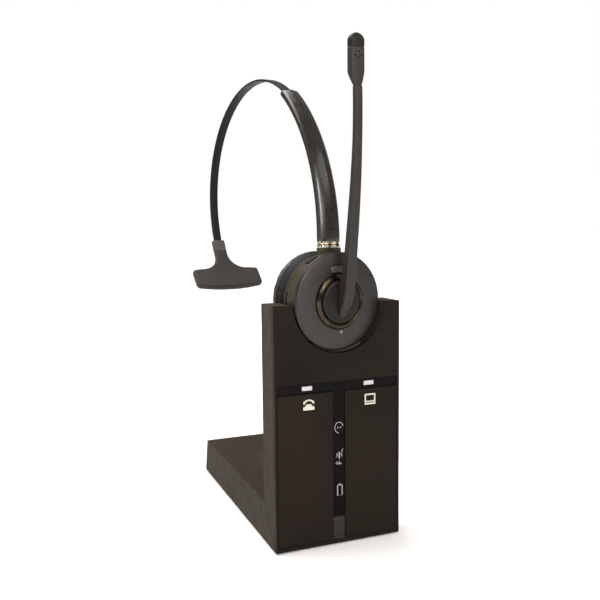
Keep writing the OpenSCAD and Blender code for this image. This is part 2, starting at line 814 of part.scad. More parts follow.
// The T-bar's outline seen along the radius at its middle: x across, y up along the band
module tbar_outline(inset) {
  half = tbar_w / 2 - inset;
  neck = 4.9 - inset;
  fillet = 9;
  top = 9.4 - inset;
  difference() {
    union() {
      intersection() {
        translate([-half, -14]) square([2 * half, 14 + top]);
        translate([0, 76]) circle(r = 85 - inset);
      }
      translate([-neck, 0]) square([2 * neck, 60]);
      translate([-neck - fillet, 0]) square([2 * (neck + fillet), top + fillet]);
    }
    for (s = [-1, 1]) {
      translate([s * (neck + fillet), top + fillet]) circle(r = fillet);
      translate([s * (half - 2.5), top - 2.5]) corner_cut(s, 1, 2.5);
      translate([s * (half - 5), -0.6 + inset]) corner_cut(s, -1, 5);
    }
  }
}

// What a rounded corner leaves outside its arc
module corner_cut(sx, sy, r) {
  difference() {
    translate([sx > 0 ? 0 : -10, sy > 0 ? 0 : -10]) square(10);
    circle(r = r);
  }
}

module tbar_prism(inset) {
  translate([0, tbar_y, tbar_zc]) rotate([tbar_mid, 0, 0]) translate([0, tbar_r + 15, 0]) rotate([90, 0, 0])
    linear_extrude(30) tbar_outline(inset);
}

// A slab of the T-bar's curve, between two radii
module tbar_slab(a0, a1, r0, r1) {
  swept(tbar_y, tbar_zc, a0, a1, [[r0, -30], [r1, -30], [r1, 30], [r0, 30]]);
}

module tbar_pad() {
  color([0.2, 0.18, 0.17]) docked() difference() {
    intersection() {
      tbar_slab(-50, -29.4, tbar_r - 2.8, tbar_r + 2.8);
      tbar_prism(0);
    }
    intersection() {
      tbar_slab(-50, -31, tbar_r - 0.9, tbar_r + 0.9);
      tbar_prism(1.5);
    }
  }
}

module tbar_plate() {
  color([0.5, 0.5, 0.52]) docked() intersection() {
    tbar_slab(-50, -31.1, tbar_r - 0.8, tbar_r + 0.8);
    tbar_prism(1.6);
  }
}

front_cover();
tower_shell();
foot_shell();
bottom_cover();
button_frame();
gloss_trim();
strip_insert();
led_windows();
contact_block();
pin_barrels();
base_board();
key_switches();
signal_leds();
antenna();
jack_board();
power_jack();
usb_jack();
phone_jacks();
board_cable();
ballast_plate();
foot_pads();
case_screws();
phone_key();
computer_key();
charge_pin_left();
charge_pin_right();
ear_cap();
cup_shell();
bezel_ring();
status_lens();
headset_board();
battery();
speaker_driver();
speaker_baffle();
acoustic_cloth();
ear_cushion();
contact_pads();
cup_screws();
swivel_pin();
call_button();
volume_up_button();
volume_down_button();
boom_hub();
boom_axle();
boom_clip();
boom_arm();
boom_ribs();
mic_housing();
mic_tip();
mic_capsule();
collar_ring();
sleeve_outer();
sleeve_inner();
sleeve_screws();
headband_strip();
tbar_clip();
tbar_plate();
tbar_pad();
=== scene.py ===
"""A wireless office headset hanging in its charging base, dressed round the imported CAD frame.

Sizes in this file are in millimetres unless a name ends in _m. "Docked" points are in the headset's
own frame, which is the row frame turned about the vertical by the yaw that the boom's joint gives.
"""
import json
import math

import bmesh
import bpy
from mathutils import Matrix, Vector, noise


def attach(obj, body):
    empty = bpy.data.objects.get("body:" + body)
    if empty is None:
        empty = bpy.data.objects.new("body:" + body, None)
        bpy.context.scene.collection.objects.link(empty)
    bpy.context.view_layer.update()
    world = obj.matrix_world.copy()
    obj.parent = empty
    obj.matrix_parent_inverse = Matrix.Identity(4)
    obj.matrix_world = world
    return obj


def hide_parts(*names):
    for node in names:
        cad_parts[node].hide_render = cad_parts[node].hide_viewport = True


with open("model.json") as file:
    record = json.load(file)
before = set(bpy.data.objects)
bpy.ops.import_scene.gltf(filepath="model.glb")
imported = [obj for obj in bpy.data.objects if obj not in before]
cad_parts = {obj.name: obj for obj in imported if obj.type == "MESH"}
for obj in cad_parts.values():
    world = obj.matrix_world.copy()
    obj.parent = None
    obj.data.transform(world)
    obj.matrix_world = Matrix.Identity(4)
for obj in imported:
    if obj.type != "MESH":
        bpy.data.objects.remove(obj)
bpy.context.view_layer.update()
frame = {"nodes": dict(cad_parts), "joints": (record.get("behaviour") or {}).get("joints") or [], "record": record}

MM = 0.001
TINY = 1e-6
JOINTS = {joint["name"]: joint for joint in frame["joints"]}
NODES = frame["nodes"]


# ---- The headset's own frame ----

boom_axis = JOINTS["boom_turn"]["axis"]
DOCK = Matrix.Rotation(math.atan2(-boom_axis[0], boom_axis[1]), 4, "Z")
ROW = Matrix.Identity(4)
cup_z = JOINTS["boom_turn"]["pos_m"][2] / MM


def local(point_m):
    """A row-frame point in metres as a docked point in millimetres."""
    return DOCK.inverted() @ (Vector(point_m) / MM)


band_centre = local(JOINTS["band_size"]["pos_m"])
swivel = local(JOINTS["band_swivel"]["pos_m"])


def mix(a, b, t):
    return a + (b - a) * t


def ramp(value, stops):
    """Straight-line interpolation through (position, value) stops."""
    if value <= stops[0][0]:
        return stops[0][1]
    for (p0, v0), (p1, v1) in zip(stops, stops[1:]):
        if value <= p1:
            return mix(v0, v1, (value - p0) / (p1 - p0))
    return stops[-1][1]


# ---- Camera, floor and light ----

CAMERA_AT_M = (-0.1744, -0.3897, 0.1893)
CAMERA_YAW = math.radians(21.66)
CAMERA_PITCH = math.radians(5.84)
CAMERA_ROLL = math.radians(-0.6)
CAMERA_LENS = 43.62


def add_camera():
    """The photograph's viewing angle."""
    data = bpy.data.cameras.new("camera")
    data.lens = CAMERA_LENS
    data.sensor_width = 36
    data.clip_start = 0.01
    data.clip_end = 50
    camera = bpy.data.objects.new("camera", data)
    bpy.context.scene.collection.objects.link(camera)
    flat = math.cos(CAMERA_PITCH)
    forward = Vector((math.sin(CAMERA_YAW) * flat, math.cos(CAMERA_YAW) * flat, -math.sin(CAMERA_PITCH)))
    right = Vector((math.cos(CAMERA_YAW), -math.sin(CAMERA_YAW), 0))
    up = right.cross(forward)
    axis_x = right * math.cos(CAMERA_ROLL) + up * math.sin(CAMERA_ROLL)
    axis_y = up * math.cos(CAMERA_ROLL) - right * math.sin(CAMERA_ROLL)
    turn = Matrix((axis_x, axis_y, -forward)).transposed().to_4x4()
    camera.matrix_world = Matrix.Translation(CAMERA_AT_M) @ turn
    bpy.context.scene.camera = camera


def add_floor():
    """A plain pale floor, wide enough to run out of sight."""
    reach = 12
    mesh = bpy.data.meshes.new("floor")
    corners = [(-reach, -reach, 0), (reach, -reach, 0), (reach, reach, 0), (-reach, reach, 0)]
    mesh.from_pydata(corners, [], [(0, 1, 2, 3)])
    floor = bpy.data.objects.new("floor", mesh)
    bpy.context.scene.collection.objects.link(floor)
    mesh.materials.append(plain_floor())


def add_softbox(name, at_m, aim_m, width, height, power, colour=(1, 1, 1)):
    """A rectangular area light at one point, aimed at another."""
    data = bpy.data.lights.new(name, "AREA")
    data.shape = "RECTANGLE"
    data.size = width
    data.size_y = height
    data.energy = power
    data.color = colour
    light = bpy.data.objects.new(name, data)
    bpy.context.scene.collection.objects.link(light)
    light.location = at_m
    light.rotation_euler = (Vector(aim_m) - Vector(at_m)).to_track_quat("-Z", "Y").to_euler()


def add_lights():
    middle = (0.0, 0.04, 0.15)
    add_softbox("softbox_top", (-0.3, 0.32, 1.1), middle, 1.0, 0.8, 19, (1.0, 0.97, 0.94))
    add_softbox("softbox_left", (-1.05, -0.25, 0.5), middle, 0.6, 0.8, 1.7, (1.0, 0.92, 0.80))
    add_softbox("softbox_right", (1.1, 0.3, 0.5), middle, 0.5, 0.9, 1.2, (0.95, 0.97, 1.0))
    add_softbox("softbox_high", (0.50, -0.50, 0.78), (0.0, 0.0, 0.22), 0.4, 0.35, 1.2, (1.0, 0.97, 0.93))
    add_softbox("softbox_front", (0.08, -0.86, 0.57), (0.0, 0.0, 0.15), 0.35, 0.5, 10, (1.0, 0.97, 0.93))


def add_world():
    """White to look at, with a dimmer sky to light by, brighter behind the object than in front."""
    world = bpy.data.worlds.new("studio")
    bpy.context.scene.world = world
    world.use_nodes = True
    tree = world.node_tree
    tree.nodes.clear()
    output = add(tree, "OutputWorld")
    seen = add(tree, "Background", {"Color": (1, 1, 1, 1), "Strength": 1.0})
    sky = add(tree, "Background", {"Color": (1, 0.985, 0.96, 1)})
    where = add(tree, "TexCoord")
    split = add(tree, "SeparateXYZ")
    behind = add(tree, "MapRange", {"From Min": -0.8, "From Max": 0.9, "To Min": 0.03, "To Max": 0.36})
    path = add(tree, "LightPath")
    choose = add(tree, "MixShader")
    join(tree, where.outputs["Generated"], split.inputs[0])
    join(tree, split.outputs["Y"], behind.inputs["Value"])
    join(tree, behind.outputs[0], sky.inputs["Strength"])
    join(tree, path.outputs["Is Camera Ray"], choose.inputs[0])
    join(tree, sky.outputs[0], choose.inputs[1])
    join(tree, seen.outputs[0], choose.inputs[2])
    join(tree, choose.outputs[0], output.inputs["Surface"])


# ---- Materials ----


def add(tree, kind, inputs=None, **settings):
    """A shader node, with its inputs and settings filled in."""
    names = [prefix + kind for prefix in ("ShaderNode", "ShaderNodeTex", "ShaderNodeBsdf")]
    made = tree.nodes.new(next(n for n in names if hasattr(bpy.types, n)))
    for key, value in settings.items():
        setattr(made, key, value)
    for key, value in (inputs or {}).items():
        made.inputs[key].default_value = value
    return made


def join(tree, output, socket):
    tree.links.new(output, socket)


def start(name):
    """A new material with its tree, its shader and its object coordinates."""
    material = bpy.data.materials.new(name)
    material.use_nodes = True
    tree = material.node_tree
    place = add(tree, "TexCoord").outputs["Object"]
    return material, tree, tree.nodes["Principled BSDF"], place


def grey(tree, place, per_metre, detail=3.0, rough=0.55, stretch=None):
    """Noise of a given scale, stretched if asked."""
    if stretch:
        squeeze = add(tree, "Mapping", {"Scale": stretch})
        join(tree, place, squeeze.inputs["Vector"])
        place = squeeze.outputs[0]
    made = add(tree, "Noise", {"Scale": per_metre, "Detail": detail, "Roughness": rough})
    join(tree, place, made.inputs["Vector"])
    return made.outputs[0]


def spread(tree, value, low, high, at=(0.3, 0.7)):
    """A noise value spread between two numbers."""
    made = add(tree, "MapRange", {"From Min": at[0], "From Max": at[1], "To Min": low, "To Max": high})
    join(tree, value, made.inputs["Value"])
    return made.outputs[0]


def tint(tree, factor, first, second):
    """A colour between two, which may each be a colour or an output."""
    made = add(tree, "Mix", data_type="RGBA")
    join(tree, factor, made.inputs[0])
    for socket, colour in ((made.inputs[6], first), (made.inputs[7], second)):
        if isinstance(colour, bpy.types.NodeSocket):
            join(tree, colour, socket)
        else:
            socket.default_value = (*colour, 1)
    return made.outputs[2]


def worn(tree, amount, at=(0.515, 0.6)):
    """How much an edge stands out, for the lighter line that handling leaves on it."""
    return spread(tree, add(tree, "NewGeometry").outputs["Pointiness"], 0, amount, at)


def emboss(tree, shader, height, depth, strength=1.0, normal=None):
    """Bump of a real depth in metres, onto the shader or onto another bump."""
    made = add(tree, "Bump", {"Distance": depth, "Strength": strength})
    join(tree, height, made.inputs["Height"])
    if normal is not None:
        join(tree, normal, made.inputs["Normal"])
    join(tree, made.outputs[0], shader.inputs["Normal"])
    return made.outputs[0]


def shade(colour, factor):
    return tuple(min(1.0, channel * factor) for channel in colour)


def sideways(tree):
    """How far a face is turned to the left or the right."""
    split = add(tree, "SeparateXYZ")
    size = add(tree, "Math", operation="ABSOLUTE")
    join(tree, add(tree, "TexCoord").outputs["Normal"], split.inputs[0])
    join(tree, split.outputs["X"], size.inputs[0])
    return spread(tree, size.outputs[0], 0, 1, (0.4, 0.9))


def plastic(name, colour, rough=0.5, grain=0.35, depth=0.02, wear=0.25, level=0.5, sway=0.14, coat=0.0,
            lit_side_colour=None):
    """Moulded plastic: fine spark texture, slow tone changes, uneven gloss and paler edges."""
    material, tree, shader, place = start(name)
    shader.inputs["Specular IOR Level"].default_value = level
    shader.inputs["Coat Weight"].default_value = coat
    shader.inputs["Coat Roughness"].default_value = 0.08
    tone = tint(tree, spread(tree, grey(tree, place, 45), 0, 1), shade(colour, 1 - sway), shade(colour, 1 + sway))
    # Painted light: faces turned to the left or right take the lit side's colour in place of this plastic's own.
    if lit_side_colour:
        tone = tint(tree, sideways(tree), tone, lit_side_colour)
    fine = grey(tree, place, 1000 / grain, 2.0)
    speck = tint(tree, spread(tree, fine, 0, 0.35), tone, shade(colour, 1.5))
    edge = tint(tree, worn(tree, wear), speck, shade(colour, 3.2))
    join(tree, edge, shader.inputs["Base Color"])
    join(tree, spread(tree, grey(tree, place, 130), rough - 0.06, rough + 0.07), shader.inputs["Roughness"])
    soft = emboss(tree, shader, grey(tree, place, 260), depth * 2.5 * MM, 0.35)
    emboss(tree, shader, fine, depth * MM, 0.8, soft)
    return material


def rubber(name, colour, rough=0.75):
    """Soft rubber: dusty tone, close pores and a little sheen."""
    material, tree, shader, place = start(name)
    shader.inputs["Sheen Weight"].default_value = 0.12
    shader.inputs["Sheen Roughness"].default_value = 0.5
    shader.inputs["Specular IOR Level"].default_value = 0.35
    dust = tint(tree, spread(tree, grey(tree, place, 70, 5), 0, 1), shade(colour, 0.85), shade(colour, 1.25))
    join(tree, tint(tree, worn(tree, 0.3), dust, shade(colour, 2.4)), shader.inputs["Base Color"])
    join(tree, spread(tree, grey(tree, place, 400), rough - 0.08, rough + 0.08), shader.inputs["Roughness"])
    emboss(tree, shader, grey(tree, place, 2200, 2), 0.025 * MM, 0.7)
    return material


def metal(name, colour, rough=0.25, stretch=(1, 1, 1), wear=0.15, sway=0.12, depth=0.01):
    """Metal or plating: streaked roughness, faint tone change and brighter edges."""
    material, tree, shader, place = start(name)
    shader.inputs["Metallic"].default_value = 1.0
    streak = grey(tree, place, 1400, 3, 0.6, stretch)
    tone = tint(tree, spread(tree, grey(tree, place, 160), 0, 1), shade(colour, 1 - sway), shade(colour, 1 + sway))
    join(tree, tint(tree, worn(tree, wear), tone, shade(colour, 1.6)), shader.inputs["Base Color"])
    join(tree, spread(tree, streak, rough * 0.7, rough * 1.4), shader.inputs["Roughness"])
    emboss(tree, shader, streak, depth * MM, 0.5)
    return material


def chrome(name, dark, bright):
    """Plating with a painted reflection: dark and bright upright streaks painted into its colour."""
    material, tree, shader, place = start(name)
    shader.inputs["Metallic"].default_value = 1.0
    # Painted reflection: the upright streaks stand in for dark and bright things mirrored in the plating, and
    # worn() paints the edges brighter still as a painted glint.
    streak = grey(tree, place, 330, 1, 0.5, (1, 1, 0.02))
    tone = tint(tree, spread(tree, streak, 0, 1, (0.44, 0.58)), dark, bright)
    join(tree, tint(tree, worn(tree, 0.3), tone, shade(bright, 1.1)), shader.inputs["Base Color"])
    join(tree, spread(tree, grey(tree, place, 900), 0.1, 0.2), shader.inputs["Roughness"])
    emboss(tree, shader, grey(tree, place, 1400), 0.004 * MM, 0.5)
    return material


def leather(name, colour):
    """Leatherette: creases that branch, close grain between them and a dull shine on the rises."""
    material, tree, shader, place = start(name)
    shader.inputs["Specular IOR Level"].default_value = 0.45
    shader.inputs["Sheen Weight"].default_value = 0.1
    cells = add(tree, "Voronoi", {"Scale": 900, "Randomness": 0.9}, feature="DISTANCE_TO_EDGE")
    join(tree, place, cells.inputs["Vector"])
    pebble = spread(tree, cells.outputs["Distance"], 0, 1, (0.0, 0.16))
    crease = spread(tree, grey(tree, place, 190, 6, 0.62), 0, 1, (0.42, 0.6))
    # Painted shade: darker in the creases and in the grooves of the grain, lighter on the rises.
    shaded_creases = tint(tree, crease, shade(colour, 0.7), shade(colour, 1.35))
    join(tree, tint(tree, pebble, shade(colour, 0.55), shaded_creases), shader.inputs["Base Color"])
    join(tree, spread(tree, crease, 0.62, 0.42, (0, 1)), shader.inputs["Roughness"])
    deep = emboss(tree, shader, crease, 0.16 * MM, 0.8)
    emboss(tree, shader, pebble, 0.03 * MM, 0.7, deep)
    return material


def cloth(name, colour):
    """Thin woven cloth: two crossed sets of threads."""
    material, tree, shader, place = start(name)
    shader.inputs["Sheen Weight"].default_value = 0.3
    threads = []
    for direction in ("X", "Z"):
        wave = add(tree, "Wave", {"Scale": 420, "Distortion": 0.6}, bands_direction=direction)
        join(tree, place, wave.inputs["Vector"])
        threads.append(wave.outputs["Fac"])
    weave = add(tree, "Math", operation="MULTIPLY")
    join(tree, threads[0], weave.inputs[0])
    join(tree, threads[1], weave.inputs[1])
    join(tree, tint(tree, weave.outputs[0], shade(colour, 0.5), shade(colour, 1.6)), shader.inputs["Base Color"])
    join(tree, spread(tree, grey(tree, place, 500), 0.75, 0.95), shader.inputs["Roughness"])
    emboss(tree, shader, weave.outputs[0], 0.1 * MM, 0.7)
    return material


def board(name, colour):
    """A circuit board: solder mask over a faint net of tracks."""
    material, tree, shader, place = start(name)
    bricks = add(tree, "Brick", {"Scale": 260, "Mortar Size": 0.05, "Bias": -0.2})
    bricks.inputs["Color1"].default_value = (*colour, 1)
    bricks.inputs["Color2"].default_value = (*shade(colour, 0.8), 1)
    bricks.inputs["Mortar"].default_value = (*shade(colour, 1.9), 1)
    join(tree, place, bricks.inputs["Vector"])
    join(tree, bricks.outputs["Color"], shader.inputs["Base Color"])
    join(tree, spread(tree, grey(tree, place, 300), 0.3, 0.45), shader.inputs["Roughness"])
    emboss(tree, shader, bricks.outputs["Fac"], 0.02 * MM, 0.5)
    return material


def ribbon(name, colour):
    """A flat cable of side-by-side wires."""
    material, tree, shader, place = start(name)
    wave = add(tree, "Wave", {"Scale": 250, "Distortion": 0.0}, bands_direction="X")
    join(tree, place, wave.inputs["Vector"])
    # Painted shade: darker in the grooves between the wires.
    join(tree, tint(tree, wave.outputs["Fac"], shade(colour, 0.6), colour), shader.inputs["Base Color"])
    join(tree, spread(tree, grey(tree, place, 300), 0.45, 0.6), shader.inputs["Roughness"])
    emboss(tree, shader, wave.outputs["Fac"], 0.2 * MM, 0.8)
    return material


def milky(name, colour, rough=0.3):
    """A translucent light window or a printed mark: soft scatter and uneven thickness."""
    material, tree, shader, place = start(name)
    shader.inputs["Subsurface Weight"].default_value = 0.15
    shader.inputs["Subsurface Radius"].default_value = (MM, MM, MM)
    cloudy = tint(tree, spread(tree, grey(tree, place, 300), 0, 1), shade(colour, 0.93), colour)
    join(tree, cloudy, shader.inputs["Base Color"])
    join(tree, spread(tree, grey(tree, place, 700), rough - 0.05, rough + 0.1), shader.inputs["Roughness"])
    emboss(tree, shader, grey(tree, place, 1500), 0.01 * MM, 0.5)
    return material


def plain_floor():
    material, tree, shader, place = start("floor_white")
    shader.inputs["Specular IOR Level"].default_value = 0.1
    tone = tint(tree, spread(tree, grey(tree, place, 3), 0, 1), (0.9, 0.9, 0.9), (0.93, 0.93, 0.93))
    away = add(tree, "VectorMath", operation="LENGTH")
    join(tree, place, away.inputs[0])
    join(tree, spread(tree, away.outputs["Value"], 0, 1, (0.3, 0.9)), shader.inputs["Emission Strength"])
    shader.inputs["Emission Color"].default_value = (1, 1, 1, 1)
    join(tree, tone, shader.inputs["Base Color"])
    join(tree, spread(tree, grey(tree, place, 20), 0.8, 0.9), shader.inputs["Roughness"])
    return material


# Painted light: the base's front and sides are one plastic, given as a darker copy for the shade on the front and
# a lighter, browner copy for the warm light on the sides, which the sleeve's liner also takes.
LIT_SIDE_BROWN = (0.0240, 0.0178, 0.0128)
FINISH = {
    "base_front": plastic("front_plastic", (0.0078, 0.0055, 0.0041), rough=0.62, level=0.06,
                          lit_side_colour=LIT_SIDE_BROWN),
    "base_side": plastic("side_plastic", LIT_SIDE_BROWN, rough=0.62, level=0.08),
    "black_gloss": plastic("gloss_plastic", (0.0022, 0.0019, 0.0018), 0.22, 2.0, 0.004, 0.1, 0.05),
    "window_white": milky("window_plastic", (0.42, 0.41, 0.43)),
    "inner_plastic": plastic("inner_plastic", (0.016, 0.016, 0.016), rough=0.55),
    "foot_rubber": rubber("foot_rubber", (0.012, 0.012, 0.012)),
    "plain_steel": metal("zinc_steel", (0.55, 0.55, 0.57), 0.32, (1, 6, 1)),
    "gold_contact": metal("gold_plate", (0.83, 0.6, 0.24), 0.2),
    "circuit_board": board("solder_mask", (0.012, 0.09, 0.03)),
    "cable_jacket": ribbon("flat_cable", (0.6, 0.58, 0.52)),
    "cup_plastic": plastic("cup_plastic", (0.0090, 0.0075, 0.0066), rough=0.45, level=0.4),
    "button_plastic": plastic("button_plastic", (0.0105, 0.0088, 0.0077), rough=0.45, level=0.12),
    "bezel_metal": metal("bezel_metal", (0.045, 0.034, 0.024), 0.16, wear=0.9, sway=0.4),
    # Painted reflection: the collar's dark and bright streak colours.
    "collar_chrome": chrome("collar_chrome", (0.055, 0.042, 0.030), (0.62, 0.54, 0.40)),
    "cell_wrap": plastic("cell_wrap", (0.42, 0.44, 0.48), rough=0.35, wear=0.1),
    "ring_plastic": plastic("ring_plastic", (0.012, 0.012, 0.014), rough=0.6, level=0.12),
    "speaker_cloth": cloth("speaker_cloth", (0.012, 0.012, 0.012)),
    "pad_leather": leather("pad_leather", (0.0145, 0.0125, 0.0110)),
    "boom_plastic": plastic("boom_plastic", (0.0165, 0.0132, 0.0110), rough=0.5, level=0.24),
    "band_plastic": plastic("band_plastic", (0.014, 0.0115, 0.0095), 0.3, 0.5, 0.008, 0.12, 0.45, coat=0.15),
    "strip_black": plastic("strip_coating", (0.0070, 0.0056, 0.0045), 0.48, 0.4, 0.01, 0.15, 0.15),
    "tbar_rubber": rubber("tbar_rubber", (0.0170, 0.0130, 0.0100), 0.72),
}
PRINT_CREAM = milky("print_cream", (0.50, 0.49, 0.40), 0.5)
PRINT_GREY = milky("print_grey", (0.22, 0.21, 0.24), 0.4)
LAMP = plastic("lamp_plastic", (0.14, 0.125, 0.06), rough=0.16, wear=0.5, level=0.8)
KEY_TOP = plastic("key_top", (0.042, 0.037, 0.033), rough=0.45, level=0.35)
CLIP_BROWN = plastic("clip_brown", (0.046, 0.039, 0.035), rough=0.5, level=0.4)
NODE_FINISH = {
    "strip_insert": plastic("insert_plastic", (0.0155, 0.0120, 0.0104), rough=0.55, level=0.2),
    "cup_shell": plastic("shell_plastic", (0.0265, 0.0200, 0.0115), rough=0.5, level=0.18),
}


# ---- Mesh tools ----


def fillet(outline, radius, steps=4):
    """A closed outline with its corners rounded. radius is one number, or one for each corner."""
    made = []
    for i, corner in enumerate(outline):
        corner = Vector(corner)
        before = Vector(outline[i - 1]) - corner
        after = Vector(outline[(i + 1) % len(outline)]) - corner
        size = radius[i] if isinstance(radius, (list, tuple)) else radius
        cut = min(size, before.length * 0.47, after.length * 0.47)
        if cut < TINY:
            made.append(corner)
            continue
        first = corner + before.normalized() * cut
        last = corner + after.normalized() * cut
        for k in range(steps + 1):
            t = k / steps
            made.append(first.lerp(corner, t).lerp(corner.lerp(last, t), t))
    return made


def make(name, points, faces, turn=DOCK, sharp=32):
    """A mesh object from points in millimetres, with outward normals and soft shading."""
    mesh = bpy.data.meshes.new(name)
    mesh.from_pydata([turn @ (Vector(p) * MM) for p in points], [], faces)
    edit = bmesh.new()
    edit.from_mesh(mesh)
    bmesh.ops.remove_doubles(edit, verts=edit.verts, dist=TINY)
    bmesh.ops.recalc_face_normals(edit, faces=edit.faces)
    edit.to_mesh(mesh)
    edit.free()
    soften(mesh, sharp)
    made = bpy.data.objects.new(name, mesh)
    bpy.context.scene.collection.objects.link(made)
    return made


def soften(mesh, sharp):
    for face in mesh.polygons:
        face.use_smooth = True
    mesh.set_sharp_from_angle(angle=math.radians(sharp))


def loft(name, rings, turn=DOCK, sharp=32, ends=True, ring_closed=False):
    """A skin over rings of equal length: capped at both ends, or joined into a loop."""
    size = len(rings[0])
    points = [p for ring in rings for p in ring]
    faces = []
    for i in range(len(rings) if ring_closed else len(rings) - 1):
        low, high = i * size, (i + 1) % len(rings) * size
        for k in range(size):
            n = (k + 1) % size
            faces.append((low + k, low + n, high + n, high + k))
    if ends and not ring_closed:
        faces.append(tuple(range(size)))
        faces.append(tuple(reversed(range(len(points) - size, len(points)))))
    return make(name, points, faces, turn, sharp)


def lathe(name, profile, steps=160, sharp=32):
    """A closed profile of (radius, y) turned about the cup's axis."""
    rings = []
    for i in range(steps):
        a = math.tau * i / steps
        rings.append([(r * math.cos(a), y, cup_z + r * math.sin(a)) for r, y in profile])
    return loft(name, rings, sharp=sharp, ring_closed=True)


def plate(name, outline, low, high, turn=DOCK, sharp=32):
    """An outline in (x, z), as thick as y from low to high."""
    return loft(name, [[(x, y, z) for x, z in outline] for y in (low, high)], turn, sharp)


def arc_ring(centre, angle, section):
    """A section of (radius, x) at an angle from +Y towards +Z, about a line along X."""
    a = math.radians(angle)
    return [(x, centre.y + r * math.cos(a), centre.z + r * math.sin(a)) for r, x in section]


def steps_between(low, high, count):
    return [mix(low, high, i / count) for i in range(count + 1)]


def finished(obj):
    """The object's mesh with its modifiers applied."""
    bpy.context.view_layer.update()
    graph = bpy.context.evaluated_depsgraph_get()
    mesh = bpy.data.meshes.new_from_object(obj.evaluated_get(graph))
    obj.modifiers.clear()
    obj.data = mesh
    return obj


def drop(obj):
    bpy.data.objects.remove(obj, do_unlink=True)


def carve(obj, *cutters, sharp=32):
    """The object with other closed shapes cut out of it."""
    for cutter in cutters:
        tool = obj.modifiers.new("cut", "BOOLEAN")
        tool.operation = "DIFFERENCE"
        tool.solver = "EXACT"
        tool.object = cutter
    finished(obj)
    for cutter in cutters:
        drop(cutter)
    soften(obj.data, sharp)
    return obj


def dress(obj, slot_name, body, *hidden, material=None):
    """Gives a new piece the material of its slot, or the one given, puts it on its body and hides the CAD nodes
    that it stands for.
    """
    obj.data.materials.clear()
    obj.data.materials.append(material or FINISH[slot_name])
    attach(obj, body)
    if hidden:
        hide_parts(*hidden)
    return obj


# ---- CAD nodes that stay ----

EDGE = {
    "front_cover": 0.8, "tower_shell": 0.45, "foot_shell": 0.5, "phone_key": 0.3, "computer_key": 0.3,
    "strip_insert": 0.25, "gloss_trim": 0.15, "led_windows": 0.15, "bottom_cover": 0.3, "foot_pads": 0.6,
    "usb_jack": 0.15, "phone_jacks": 0.3, "power_jack": 0.25, "case_screws": 0.2, "contact_block": 0.25,
    "speaker_baffle": 0.3, "cup_shell": 0.25, "volume_up_button": 0.3, "volume_down_button": 0.3,
}


def soften_edges(node, width):
    """Rounds a CAD node's edges with modifiers, so that they catch the light."""
    obj = NODES[node]
    weld = obj.modifiers.new("weld", "WELD")
    weld.merge_threshold = 0.002 * MM
    flat = obj.modifiers.new("flat", "DECIMATE")
    flat.decimate_type = "DISSOLVE"
    flat.angle_limit = math.radians(0.8)
    edge = obj.modifiers.new("edge", "BEVEL")
    edge.width = width * MM
    edge.segments = 3
    edge.limit_method = "ANGLE"
    edge.angle_limit = math.radians(35)
    tidy = obj.modifiers.new("shading", "WEIGHTED_NORMAL")
    tidy.weight = 100


def paint_frame():
    """Each CAD node takes the material of its slot."""
    for part in frame["record"]["subparts"]:
        obj = NODES[part["node"]]
        if not obj.material_slots:
            obj.data.materials.append(None)
        for place in obj.material_slots:
            place.material = NODE_FINISH.get(part["node"], FINISH[part["material_slot"]])
    for node, width in EDGE.items():
        soften_edges(node, width)


# ---- Ear cup ----

FACE = -9.6
RIM = -8.5
CAP_BACK = -6.6
CUP_R = 28.7
RING_IN = 13.2
RING_OUT = 16.0
HUB_R = 12.7
HUB_FRONT = -12.4
LENS_X = 1
LENS_Z = cup_z - 17.8
CALL_ANGLE = 90
CALL_HALF = 17
CALL_IN = 17.2
CALL_OUT = 21


def sector(grow, steps=14):
    """The call button's outline in (x, z): a piece of a ring with round corners."""
    half = CALL_HALF + grow * 3
    outline = []
    for radius, sign in ((CALL_OUT + grow, 1), (CALL_IN - grow, -1)):
        for angle in steps_between(-half * sign, half * sign, steps):
            a = math.radians(CALL_ANGLE + angle)
            outline.append((radius * math.cos(a), cup_z + radius * math.sin(a)))
    corners = [0] * len(outline)
    for i in (0, steps, steps + 1, 2 * steps + 1):
        corners[i] = 1.2
    trimmed = [p for i, p in enumerate(outline) if i not in (1, steps - 1, steps + 2, 2 * steps)]
    corners = [c for i, c in enumerate(corners) if i not in (1, steps - 1, steps + 2, 2 * steps)]
    return fillet(trimmed, corners)


def crown_y(radius):
    """How far forward the cap's front is: flat round the bezel, then falling away to the rim."""
    out = max(0.0, radius - RING_OUT - 0.4) / (CUP_R - 0.8 - RING_OUT - 0.4)
    return mix(FACE, RIM, out**2)


def build_cap():
    """The round crowned front, with its rim, the ledge that the bezel sits on and the button's slot."""
    crown = [(radius, crown_y(radius)) for radius in steps_between(RING_OUT + 0.4, CUP_R - 0.9, 12)]
    back = [
        (CUP_R, RIM + 0.75), (CUP_R, CAP_BACK), (CUP_R - 1.7, CAP_BACK), (CUP_R - 1.7, CAP_BACK + 1.4),
        (CUP_R - 2.7, CAP_BACK + 1.4), (CUP_R - 2.7, CAP_BACK), (3.1, CAP_BACK),
    ]
    profile = [(3.1, FACE + 0.35), (RING_OUT + 0.15, FACE + 0.35)] + crown + back
    radii = [0, 0.1, 0.15] + [0] * (len(crown) - 2) + [0.5, 0.4, 0.15, 0.1, 0.1, 0.1, 0.1, 0]
    cap = lathe("cap_cover", fillet(profile, radii), 192)
    slot_cut = plate("slot_cut", sector(0.6), FACE - 1, RIM + 4)
    lens_cut = round_bar("lens_cut", LENS_X, LENS_Z, 0.95, FACE - 1, RIM + 4)
    carve(cap, slot_cut, lens_cut)
    dress(cap, "cup_plastic", "ear_cup", "ear_cap")


def round_bar(name, x, z, radius, low, high, steps=32):
    outline = []
    for i in range(steps):
        a = math.tau * i / steps
        outline.append((x + radius * math.cos(a), z + radius * math.sin(a)))
    return plate(name, outline, low, high)


